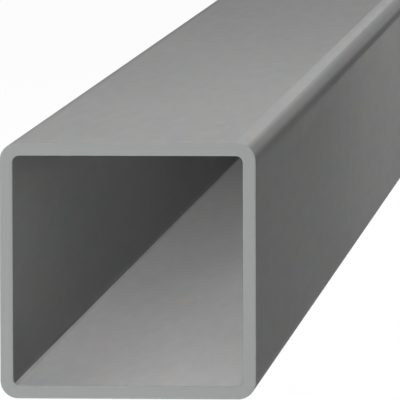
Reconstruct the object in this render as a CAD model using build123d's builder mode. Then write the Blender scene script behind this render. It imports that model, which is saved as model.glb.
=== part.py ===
from build123d import *
import os

# A cut length of square steel tube, lying on one of its flats.
#
# The tube is one piece: a rolled hollow section with rounded corners, sawn square at
# both ends and deburred. Its length runs along Y and its width along X. The origin is
# in the middle of the flat that it lies on, so the tube stands from Z = 0 up to its
# side. All sizes are in millimetres.

# Driving sizes of the section
side = 60.0                # outside width and height
wall = 3.0                 # wall thickness
outer_corner_radius = 4.2  # outside of each rolled corner
inner_corner_radius = 1.6  # inside of each rolled corner

# Driving sizes of the cut piece
length = 1000.0            # from one sawn end to the other
deburr = 0.3               # chamfer left on the inner and outer edges of a sawn end

# Sizes that follow from them
bore_side = side - 2 * wall
section_plane = Plane(origin=(0, 0, side / 2), x_dir=(1, 0, 0), z_dir=(0, -1, 0))

with BuildPart() as tube:
    # The hollow section, drawn across the tube half-way along its length
    with BuildSketch(section_plane) as section:
        RectangleRounded(side, side, outer_corner_radius)
        RectangleRounded(bore_side, bore_side, inner_corner_radius, mode=Mode.SUBTRACT)
    extrude(amount=length / 2, both=True)

    # Both sawn ends, with the burr taken off the edges of the section and of the bore
    sawn_ends = tube.faces().filter_by(Axis.Y)
    chamfer(sawn_ends.edges(), length=deburr)

tube.part.label = "tube"

os.makedirs("parts", exist_ok=True)
export_step(tube.part, "parts/tube.step")
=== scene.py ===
"""Square steel tube stock: the finish of the tube, the camera and a plain pale studio round it."""

import logging
import math
from dataclasses import dataclass
from enum import Enum
from typing import Any

import bpy
from mathutils import Matrix, Vector


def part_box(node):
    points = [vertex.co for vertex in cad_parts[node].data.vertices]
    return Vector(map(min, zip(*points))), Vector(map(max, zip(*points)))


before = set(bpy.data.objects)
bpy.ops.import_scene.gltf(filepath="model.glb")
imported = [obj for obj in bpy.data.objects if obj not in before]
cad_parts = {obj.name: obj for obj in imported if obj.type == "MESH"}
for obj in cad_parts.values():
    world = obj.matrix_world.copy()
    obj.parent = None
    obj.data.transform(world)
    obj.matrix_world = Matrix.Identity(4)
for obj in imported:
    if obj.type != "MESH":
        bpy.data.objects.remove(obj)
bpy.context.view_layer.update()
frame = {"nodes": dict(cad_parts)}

MILLIMETRE = 0.001
Colour = tuple[float, float, float]
Point = tuple[float, float, float]
Span = tuple[float, float]
BLACK: Colour = (0.0, 0.0, 0.0)
WHITE: Colour = (1.0, 1.0, 1.0)
log = logging.getLogger("square_tube")


class Operation(Enum):
    """The Math node operations that the shader expressions use."""

    ADD = "ADD"
    SUBTRACT = "SUBTRACT"
    MULTIPLY = "MULTIPLY"
    ABSOLUTE = "ABSOLUTE"
    MAXIMUM = "MAXIMUM"
    ARCTAN2 = "ARCTAN2"
    SIGN = "SIGN"


class Blend(Enum):
    """The ways in which two colours are laid over each other."""

    MIX = "MIX"
    MULTIPLY = "MULTIPLY"


class Value:
    """A number or colour that changes over a surface, held by one output socket of a graph."""

    def __init__(self, graph: "Graph", socket: bpy.types.NodeSocket) -> None:
        """Wraps a socket.

        Args:
            graph: The graph that the socket is in.
            socket: The output that carries the value.
        """
        self.graph = graph
        self.socket = socket

    def join(self, operation: Operation, left: Any, right: Any = 0.0) -> "Value":
        """Adds one Math node.

        Args:
            operation: What the node works out.
            left: Its first number or value.
            right: Its second number or value, where the operation has one.

        Returns:
            The node's result.
        """
        node = self.graph.node("ShaderNodeMath", {"operation": operation.value}, {0: left, 1: right})
        return self.graph.value(node)

    def __add__(self, other: Any) -> "Value":
        """Gives self + other."""
        return self.join(Operation.ADD, self, other)

    def __radd__(self, other: Any) -> "Value":
        """Gives other + self."""
        return self.join(Operation.ADD, other, self)

    def __sub__(self, other: Any) -> "Value":
        """Gives self - other."""
        return self.join(Operation.SUBTRACT, self, other)

    def __rsub__(self, other: Any) -> "Value":
        """Gives other - self."""
        return self.join(Operation.SUBTRACT, other, self)

    def __mul__(self, other: Any) -> "Value":
        """Gives self * other."""
        return self.join(Operation.MULTIPLY, self, other)

    def __rmul__(self, other: Any) -> "Value":
        """Gives other * self."""
        return self.join(Operation.MULTIPLY, other, self)

    def absolute(self) -> "Value":
        """Gives the size of the number without its sign."""
        return self.join(Operation.ABSOLUTE, self)

    def larger_of(self, other: Any) -> "Value":
        """Gives the larger of the two numbers."""
        return self.join(Operation.MAXIMUM, self, other)

    def angle_over(self, other: Any) -> "Value":
        """Gives the angle, in radians, whose tangent is self / other."""
        return self.join(Operation.ARCTAN2, self, other)

    def sign(self) -> "Value":
        """Gives -1 or 1, whichever side of 0 the number lies on."""
        return self.join(Operation.SIGN, self)

    def rise(self, low: float, high: float) -> "Value":
        """Makes a mask that rises smoothly.

        Args:
            low: Where the mask is still 0.
            high: Where it has reached 1.

        Returns:
            The mask, from 0 to 1.
        """
        settings = {"interpolation_type": "SMOOTHSTEP"}
        sockets = {"Value": self, "From Min": low, "From Max": high}
        return self.graph.value(self.graph.node("ShaderNodeMapRange", settings, sockets))

    def band(self, start: float, end: float, edge: float) -> "Value":
        """Makes a mask that is 1 between two places.

        Args:
            start: The middle of its rising edge.
            end: The middle of its falling edge.
            edge: The width of each edge.

        Returns:
            The mask, from 0 to 1.
        """
        half = edge / 2
        return self.rise(start - half, start + half) * (1 - self.rise(end - half, end + half))


class Graph:
    """A node tree that is being built."""

    def __init__(self, tree: bpy.types.NodeTree) -> None:
        """Empties a tree.

        Args:
            tree: The material's or world's own tree.
        """
        self.tree = tree
        tree.nodes.clear()

    @staticmethod
    def find(sockets: Any, key: int | str) -> bpy.types.NodeSocket:
        """Finds a socket that is in use.

        Args:
            sockets: A node's inputs or outputs.
            key: The socket's name, or its number among them.

        Returns:
            The socket.
        """
        if isinstance(key, int):
            return sockets[key]
        return next(socket for socket in sockets if socket.enabled and socket.name == key)

    def node(self, kind: str, settings: dict[str, Any], sockets: dict[int | str, Any]) -> bpy.types.Node:
        """Adds one node.

        Args:
            kind: The node's type.
            settings: Its settings, which come before its sockets.
            sockets: For each input, a number, a colour or a value to link.

        Returns:
            The node.
        """
        node = self.tree.nodes.new(kind)
        for name, setting in settings.items():
            setattr(node, name, setting)
        for key, content in sockets.items():
            socket = self.find(node.inputs, key)
            if isinstance(content, Value):
                self.tree.links.new(content.socket, socket)
            else:
                socket.default_value = content
        return node

    def value(self, node: bpy.types.Node, output: int | str = 0) -> Value:
        """Wraps one output of a node."""
        return Value(self, self.find(node.outputs, output))

    def mix(self, blend: Blend, share: Any, under: Any, over: Any) -> Value:
        """Lays one colour over another.

        Args:
            blend: How they are laid.
            share: How much of the upper one shows, from 0 to 1.
            under: The lower colour.
            over: The upper colour, or a value that stands for a grey.

        Returns:
            The colour that results.
        """
        settings = {"data_type": "RGBA", "blend_type": blend.value}
        sockets = {"Factor": share, "A": under, "B": over}
        return self.value(self.node("ShaderNodeMix", settings, sockets), "Result")


def opaque(colour: Colour) -> tuple[float, float, float, float]:
    """Gives a colour with full alpha, as the sockets take it."""
    return (*colour, 1.0)


@dataclass(frozen=True)
class Unevenness:
    """A random pattern of lumps on the steel.

    Its lumps are how many lie in a metre along X, Y and Z, so they are long where the number is
    small. Its layers are how many finer patterns lie on the lumps.
    """

    lumps: Point
    layers: float = 2.0

    def over(self, place: Value) -> Value:
        """Adds the pattern.

        Args:
            place: Where on the object it is looked up.

        Returns:
            The pattern, from about -1 to 1 with its mean at 0.
        """
        graph = place.graph
        settings = {"operation": "MULTIPLY"}
        scaled = graph.node("ShaderNodeVectorMath", settings, {0: place, 1: self.lumps})
        sockets = {"Vector": graph.value(scaled), "Scale": 1.0, "Detail": self.layers}
        noise = graph.value(graph.node("ShaderNodeTexNoise", {}, sockets), "Fac")
        return (noise - 0.5) * 2


@dataclass(frozen=True)
class TubeSection:
    """The sizes of the tube that its finish follows, in metres."""

    side: float
    length: float
    wall: float = 3.0 * MILLIMETRE
    corner_radius: float = 4.2 * MILLIMETRE
    bore_corner_radius: float = 1.6 * MILLIMETRE
    deburr: float = 0.3 * MILLIMETRE


class TubePlaces:
    """The places on the tube that its finish tells apart: masks from 0 to 1 and angles in radians.

    The turn round a rounded corner is 0 where its arc leaves the top or bottom wall and a quarter
    turn where it reaches the side wall. The rolled turn goes round the outside of the upper right
    corner, and the bore turn round the bore's lower left one. Onward rises from the front end to
    past the middle, and rear is 1 in the back part alone. The end is a sawn face, the rim its
    deburred edges, the flank all the rest, and the right the flat of the right wall.
    """

    ONWARD_REACH: float = 0.1
    """How far past the middle onward reaches 1, as a share of the length."""
    REAR_REACH: Span = (0.2, 0.4)
    """How far past the middle rear starts and reaches 1, as shares of the length."""
    SAWN_FACING: Span = (0.8, 0.95)
    """How squarely a face looks along the tube where it starts to be, and fully is, sawn."""
    SKIN_DEPTH: float = 0.75
    """How much of the wall, from outside, counts as the outside."""
    MASK_EDGE: float = 0.1 * MILLIMETRE
    """How wide the edge of a mask is across the tube."""
    RIM_EDGE: float = 0.02 * MILLIMETRE
    """How wide the edge of the rim's mask is along the tube."""

    def __init__(self, graph: Graph, section: TubeSection) -> None:
        """Works out the masks from where a point lies and which way it faces.

        Args:
            graph: The material's graph.
            section: The tube's sizes.
        """
        where = graph.node("ShaderNodeTexCoord", {}, {})
        self.place = graph.value(where, "Object")
        axes = graph.node("ShaderNodeSeparateXYZ", {}, {0: self.place})
        x, y, z = (graph.value(axes, name) for name in "XYZ")
        facing = graph.node("ShaderNodeSeparateXYZ", {}, {0: graph.value(where, "Normal")})
        half = section.side / 2
        height = z - half
        across = x.absolute()
        above = height.absolute()
        self.along = y.sign()
        self.onward = y.rise(-section.length / 2, section.length * self.ONWARD_REACH)
        self.rear = y.rise(*(section.length * share for share in self.REAR_REACH))
        self.end = graph.value(facing, "Y").absolute().rise(*self.SAWN_FACING)
        self.flank = 1 - self.end
        last = section.length / 2 - section.deburr
        self.rim = y.absolute().rise(last, last + self.RIM_EDGE) * self.flank
        skin = half - section.wall * self.SKIN_DEPTH
        self.outside = across.larger_of(above).rise(skin, skin + self.MASK_EDGE) * self.flank
        self.inside = self.flank - self.outside
        arc = half - section.corner_radius
        self.rolled_turn = (x - arc).angle_over(height - arc)
        self.right = x.rise(half - self.MASK_EDGE, half)
        bore_arc = half - section.wall - section.bore_corner_radius
        self.bore_turn = (-1 * x - bore_arc).angle_over(-1 * height - bore_arc)


@dataclass(frozen=True)
class PaintedStripe:
    """A stripe of painted highlight or painted shade along a rounded corner, lighter or darker than
    the steel beside it.

    Its sides and the width of its edges are turns round the corner, in degrees. It adds a share
    of the steel's own tone, which may differ between the front end and further along.
    """

    start: float
    end: float
    edge: float
    near: float
    far: float

    def mask(self, turn: Value) -> Value:
        """Makes the mask that is 1 on the stripe.

        Args:
            turn: The turn round the corner, in radians.

        Returns:
            The mask, from 0 to 1.
        """
        return turn.band(math.radians(self.start), math.radians(self.end), math.radians(self.edge))

    def gain(self, turn: Value, onward: Value) -> Value:
        """Works out what the stripe adds to the tone.

        Args:
            turn: The turn round the corner, in radians.
            onward: How far along the tube the point is, from 0 to 1.

        Returns:
            The share of the tone, below 0 where the stripe is darker.
        """
        return self.mask(turn) * (self.near + onward * (self.far - self.near))


@dataclass(frozen=True)
class MillSteel:
    """Bare steel as the tube mill leaves it: drawn lines, a film of oil, sawn ends and painted light.

    Its tone carries painted highlights and painted shade along the upper right corner and the
    bore's lower left corner, painted shade on the right wall and painted shade in the back of the bore.

    Its film runs from cool to warm over the film span, and oil lies on it over the oil span. A
    depth, a gain or a shade is a share of the steel's tone. The cloud and line roughness are added
    to its roughness, and the grain share is the height of the grain beside that of the lines.
    """

    name: str = "mill_steel"
    cool: Colour = (0.355, 0.360, 0.371)
    warm: Colour = (0.369, 0.361, 0.350)
    oiled: Colour = (0.357, 0.365, 0.359)
    sawn: Colour = (0.352, 0.362, 0.357)
    grazing_tint: Colour = BLACK
    clouds: Unevenness = Unevenness((30.0, 9.0, 30.0), 3.0)
    film: Unevenness = Unevenness((380.0, 32.0, 380.0))
    oil: Unevenness = Unevenness((300.0, 40.0, 300.0))
    drawn_lines: Unevenness = Unevenness((800.0, 6.0, 800.0))
    grain: Unevenness = Unevenness((2200.0, 1400.0, 2200.0))
    saw_marks: Unevenness = Unevenness((30.0, 1.0, 1900.0))
    film_span: Span = (-0.4, 0.4)
    oil_span: Span = (-0.1, 0.4)
    cloud_depth: float = 0.03
    line_depth: float = 0.015
    film_depth: float = 0.06
    rim_gain: float = 0.05
    # Painted shade on the outside of the right wall.
    side_shade: float = 0.05
    # Painted shade in the back part of the bore.
    rear_bore_shade: float = 0.4
    roughness: float = 0.55
    cloud_roughness: float = 0.03
    line_roughness: float = 0.02
    grain_share: float = 0.2
    relief_strength: float = 0.15
    relief_depth: float = 0.02 * MILLIMETRE
    # Painted highlight: a lighter stripe along the top of the upper right corner, which grows lighter
    # further along the tube.
    corner_highlight: PaintedStripe = PaintedStripe(-12.0, 31.5, 4.0, 0.085, 0.4)
    # Painted highlights and painted shade down the upper right corner: lighter stripes towards its top and a
    # darker one towards the right wall, changing along the tube.
    corner_highlights_and_shade: tuple[PaintedStripe, ...] = (
        PaintedStripe(16.0, 41.5, 25.0, 0.12, 0.01),
        PaintedStripe(23.5, 110.5, 6.0, 0.085, -0.07),
        PaintedStripe(53.0, 70.5, 17.0, 0.24, 0.0),
        PaintedStripe(77.0, 107.5, 14.5, -0.15, -0.34),
    )
    # Painted highlight along the bore's lower left corner, with painted shade beside it on the side wall's
    # part of the arc.
    bore_highlight_and_shade: tuple[PaintedStripe, ...] = (
        PaintedStripe(6.0, 38.0, 10.0, 0.1, 0.0),
        PaintedStripe(37.0, 49.0, 5.0, 0.6, 0.2),
        PaintedStripe(50.0, 70.0, 10.0, -0.35, -0.35),
    )

    def facing(self, graph: Graph, on: TubePlaces) -> Value:
        """Rounds the deburred rims over into the sawn ends.

        Args:
            graph: The material's graph.
            on: The places on the tube.

        Returns:
            The surface's normal, turned to the end's own on its rims.
        """
        outward = graph.value(graph.node("ShaderNodeCombineXYZ", {}, {"Y": on.along}))
        settings = {"vector_type": "NORMAL", "convert_from": "OBJECT", "convert_to": "WORLD"}
        end_normal = graph.value(graph.node("ShaderNodeVectorTransform", settings, {"Vector": outward}))
        normal = graph.value(graph.node("ShaderNodeNewGeometry", {}, {}), "Normal")
        return graph.mix(Blend.MIX, on.rim, normal, end_normal)

    def material(self, section: TubeSection) -> bpy.types.Material:
        """Builds the material.

        Args:
            section: The tube's sizes.

        Returns:
            The material.
        """
        material = bpy.data.materials.new(self.name)
        material.use_nodes = True
        graph = Graph(material.node_tree)
        on = TubePlaces(graph, section)
        skin = on.outside * (1 - on.rim)
        lining = on.inside * (1 - on.rim)
        # Where the painted highlight lies on the upper right corner; the relief is smoothed there.
        corner_highlight_mask = skin * self.corner_highlight.mask(on.rolled_turn)

        clouds = self.clouds.over(on.place)
        film = self.film.over(on.place)
        oil = self.oil.over(on.place)
        lines = self.drawn_lines.over(on.place) * on.flank
        grain = self.grain.over(on.place)
        saw = self.saw_marks.over(on.place) * on.end

        steel = graph.mix(Blend.MIX, film.rise(*self.film_span), opaque(self.cool), opaque(self.warm))
        steel = graph.mix(Blend.MIX, oil.rise(*self.oil_span), steel, opaque(self.oiled))
        steel = graph.mix(Blend.MIX, on.end + on.rim, steel, opaque(self.sawn))
        tone = 1 + on.rim * self.rim_gain + clouds * self.cloud_depth + lines * self.line_depth
        # The painted highlights and painted shade along the upper right corner.
        for stripe in (self.corner_highlight, *self.corner_highlights_and_shade):
            tone = tone * (1 + skin * stripe.gain(on.rolled_turn, on.onward))
        # The painted highlight and painted shade along the bore's lower left corner.
        for stripe in self.bore_highlight_and_shade:
            tone = tone * (1 + lining * stripe.gain(on.bore_turn, on.onward))
        # Painted shade: the outside of the right wall is darker.
        tone = tone * (1 - skin * on.right * self.side_shade)
        # Painted shade: the bore is darker in its back part.
        tone = tone * (1 - lining * on.rear * self.rear_bore_shade)
        tone = tone * (1 + (film + oil) * on.flank * self.film_depth)
        colour = graph.mix(Blend.MULTIPLY, 1.0, steel, tone)

        roughness = self.roughness + clouds * self.cloud_roughness + lines * self.line_roughness
        sockets = {
            "Strength": self.relief_strength,
            "Distance": self.relief_depth,
            "Height": (grain * self.grain_share + lines) * (1 - corner_highlight_mask) + saw,
            "Normal": self.facing(graph, on),
        }
        relief = graph.node("ShaderNodeBump", {}, sockets)
        sockets = {
            "Base Color": colour,
            "Metallic": 1.0,
            "Roughness": roughness,
            "Specular Tint": opaque(self.grazing_tint),
            "Normal": graph.value(relief),
        }
        shader = graph.value(graph.node("ShaderNodeBsdfPrincipled", {}, sockets))
        graph.node("ShaderNodeOutputMaterial", {}, {"Surface": shader})
        return material


@dataclass(frozen=True)
class PalePaint:
    """Matt pale paint for the floor, which the camera, gloss and glass see lifted towards white.

    Its lift is the share of plain white in what they see. The rest is the lit paint.
    """

    name: str = "pale_floor"
    paint: Colour = (0.95, 0.95, 0.95)
    lift: float = 0.89

    def material(self) -> bpy.types.Material:
        """Builds the material.

        Returns:
            The material.
        """
        material = bpy.data.materials.new(self.name)
        material.use_nodes = True
        material.cycles.emission_sampling = "NONE"
        graph = Graph(material.node_tree)
        ray = graph.node("ShaderNodeLightPath", {}, {})
        straight = graph.value(ray, "Is Camera Ray").larger_of(graph.value(ray, "Is Glossy Ray"))
        seen = straight.larger_of(graph.value(ray, "Is Transmission Ray"))
        matt = graph.node("ShaderNodeBsdfDiffuse", {}, {"Color": opaque(self.paint)})
        white = graph.node("ShaderNodeEmission", {}, {"Color": opaque(WHITE), "Strength": 1.0})
        shaders = {0: seen * self.lift, 1: graph.value(matt), 2: graph.value(white)}
        shader = graph.value(graph.node("ShaderNodeMixShader", {}, shaders))
        graph.node("ShaderNodeOutputMaterial", {}, {"Surface": shader})
        return material


@dataclass(frozen=True)
class SquareTube:
    """The length of square tube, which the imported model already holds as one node."""

    node: str = "tube"
    slot: str = "mill_steel"
    finish: MillSteel = MillSteel()

    def section(self) -> TubeSection:
        """Reads the tube's overall sizes from the frame."""
        low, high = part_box(self.node)
        return TubeSection(side=high.x - low.x, length=high.y - low.y)

    def dress(self, nodes: dict[str, bpy.types.Object]) -> bpy.types.Object:
        """Gives the tube its finish.

        Args:
            nodes: The frame's nodes by name.

        Returns:
            The tube's object.
        """
        tube = nodes[self.node]
        material = self.finish.material(self.section())
        for slot in tube.material_slots:
            slot.material = material
        return tube


@dataclass(frozen=True)
class LongLensCamera:
    """The camera: a long lens, a little above the tube and to its right, that looks along it.

    Its place and reach are in metres, its turns in degrees and its lens and film in millimetres.
    """

    place: Point = (0.15632, -2.35694, 0.18694)
    azimuth: float = 4.291
    elevation: float = 4.3056
    roll: float = -0.149
    focal_length: float = 720.4
    film_width: float = 36.0
    nearest: float = 0.1
    farthest: float = 200.0

    def build(self) -> bpy.types.Object:
        """Builds the camera and makes it the scene's own.

        Returns:
            The camera's object.
        """
        turns = (self.azimuth, self.elevation, self.roll)
        azimuth, elevation, roll = (math.radians(turn) for turn in turns)
        level = math.cos(elevation)
        ahead = Vector((-math.sin(azimuth) * level, math.cos(azimuth) * level, -math.sin(elevation)))
        right = Vector((math.cos(azimuth), math.sin(azimuth), 0.0))
        up = right.cross(ahead)
        rolled_right = right * math.cos(roll) + up * math.sin(roll)
        rolled_up = up * math.cos(roll) - right * math.sin(roll)
        data = bpy.data.cameras.new("camera")
        data.sensor_width = self.film_width
        data.lens = self.focal_length
        data.clip_start = self.nearest
        data.clip_end = self.farthest
        camera = bpy.data.objects.new("camera", data)
        stance = Matrix((rolled_right, rolled_up, -ahead)).transposed().to_4x4()
        stance.translation = Vector(self.place)
        camera.matrix_world = stance
        bpy.context.scene.collection.objects.link(camera)
        bpy.context.scene.camera = camera
        return camera


@dataclass(frozen=True)
class SoftBox:
    """A flat soft lamp that the camera doesn't see: square, unless it has a length.

    A fill is a lamp that casts no shadow.
    """

    name: str
    place: Point
    aim: Point
    size: float
    watts: float
    casts_shadow: bool = True
    length: float | None = None

    def build(self) -> bpy.types.Object:
        """Builds the lamp.

        Returns:
            The lamp's object.
        """
        data = bpy.data.lights.new(self.name, "AREA")
        data.shape = "RECTANGLE"
        data.size = self.size
        data.size_y = self.length or self.size
        data.energy = self.watts
        data.use_shadow = self.casts_shadow
        data.cycles.use_multiple_importance_sampling = False
        lamp = bpy.data.objects.new(self.name, data)
        lamp.location = self.place
        lamp.rotation_euler = (Vector(self.aim) - Vector(self.place)).to_track_quat("-Z", "X").to_euler()
        lamp.visible_camera = False
        bpy.context.scene.collection.objects.link(lamp)
        return lamp


@dataclass(frozen=True)
class Studio:
    """A pale floor under soft lamps and a dark sky with a white horizon.

    The horizon's span is how high a direction points where the white starts to fade and where it
    is gone, as the sine of its angle.
    """

    paint: PalePaint = PalePaint()
    floor_size: float = 60.0
    horizon: Span = (0.025, 0.04)
    lamps: tuple[SoftBox, ...] = (
        SoftBox("mouth_fill", (-0.15, -0.4, 0.6), (-0.03, -0.24, 0.0), 0.5, 2.91, casts_shadow=False),
        SoftBox("top_fill", (0.1, 0.1, 1.0), (0.02, 0.06, 0.0), 0.5, 4.76, casts_shadow=False),
        SoftBox("front_high", (-1.0, -3.2, 1.2), (0.0, -0.5, 0.03), 0.6, 12.1),
        SoftBox("front_low", (-0.2, -3.0, 0.12), (0.0, -0.5, 0.03), 0.4, 3.6),
        SoftBox("left_front", (-1.4, -1.5, 0.6), (0.0, -0.9, 0.0), 0.6, 19.2),
        SoftBox("left_back", (-1.4, 1.5, 0.6), (0.0, 0.9, 0.0), 0.6, 10.5),
        SoftBox("back", (0.0, 3.0, 0.5), (0.0, 0.3, 0.03), 0.6, 10.9),
        SoftBox("back_low", (-0.7, 1.5, 0.03), (0.0, 0.5, 0.03), 0.05, 3.0, length=0.5),
        SoftBox("over_far", (0.9, 1.2, 1.2), (0.27, 1.2, 0.0), 0.6, 9.6),
        SoftBox("right_side", (0.35, 0.3, 0.12), (0.0, 0.1, 0.03), 0.15, 0.284),
        SoftBox("bore_top", (0.013, -0.145, 0.0562), (0.013, -0.145, 0.0), 0.024, 0.0202, length=0.69),
        SoftBox("bore_top_near", (0.013, -0.32, 0.0562), (0.013, -0.32, 0.0), 0.024, 0.0153, length=0.34),
        SoftBox("bore_top_mouth", (0.013, -0.455, 0.0562), (0.013, -0.455, 0.0), 0.024, 0.0032, length=0.07),
        SoftBox("bore_side", (0.0262, -0.235, 0.03), (0.0, -0.235, 0.03), 0.05, 0.0073, length=0.51),
        SoftBox("bore_side_mouth", (0.0262, -0.395, 0.03), (0.0, -0.395, 0.03), 0.05, 0.004, length=0.19),
        SoftBox("bore_side_low", (0.0262, -0.43, 0.012), (0.0, -0.43, 0.012), 0.018, 0.0007, length=0.12),
    )

    def floor(self) -> bpy.types.Object:
        """Builds the floor.

        Returns:
            The floor's object.
        """
        reach = self.floor_size / 2
        mesh = bpy.data.meshes.new("floor")
        corners = [(-reach, -reach, 0.0), (reach, -reach, 0.0), (reach, reach, 0.0), (-reach, reach, 0.0)]
        mesh.from_pydata(corners, [], [(0, 1, 2, 3)])
        mesh.materials.append(self.paint.material())
        floor = bpy.data.objects.new("floor", mesh)
        bpy.context.scene.collection.objects.link(floor)
        return floor

    def sky_light(self) -> bpy.types.World:
        """Builds the world.

        Returns:
            The world, set as the scene's own.
        """
        world = bpy.data.worlds.new("sky")
        world.use_nodes = True
        graph = Graph(world.node_tree)
        where = graph.node("ShaderNodeTexCoord", {}, {})
        axes = graph.node("ShaderNodeSeparateXYZ", {}, {0: graph.value(where, "Generated")})
        strength = 1 - graph.value(axes, "Z").rise(*self.horizon)
        light = graph.node("ShaderNodeBackground", {}, {"Color": opaque(WHITE), "Strength": strength})
        graph.node("ShaderNodeOutputWorld", {}, {"Surface": graph.value(light)})
        bpy.context.scene.world = world
        return world

    def build(self) -> list[bpy.types.Object]:
        """Builds the floor, the lamps and the sky.

        Returns:
            The floor and the lamps.
        """
        self.sky_light()
        return [self.floor(), *(lamp.build() for lamp in self.lamps)]


def main() -> None:
    """Builds the camera, the dressed tube and the studio, and reports each one."""
    logging.basicConfig(level=logging.INFO, format="%(name)s: %(message)s")
    bpy.context.scene.view_settings.view_transform = "Standard"
    camera = LongLensCamera().build()
    log.info("%s at %.3f, %.3f, %.3f", camera.name, *camera.location)
    tube = SquareTube().dress(frame["nodes"])
    log.info("%s finished in %s", tube.name, tube.material_slots[0].material.name)
    for piece in Studio().build():
        log.info("%s set up", piece.name)


if __name__ == "__main__":
    main()
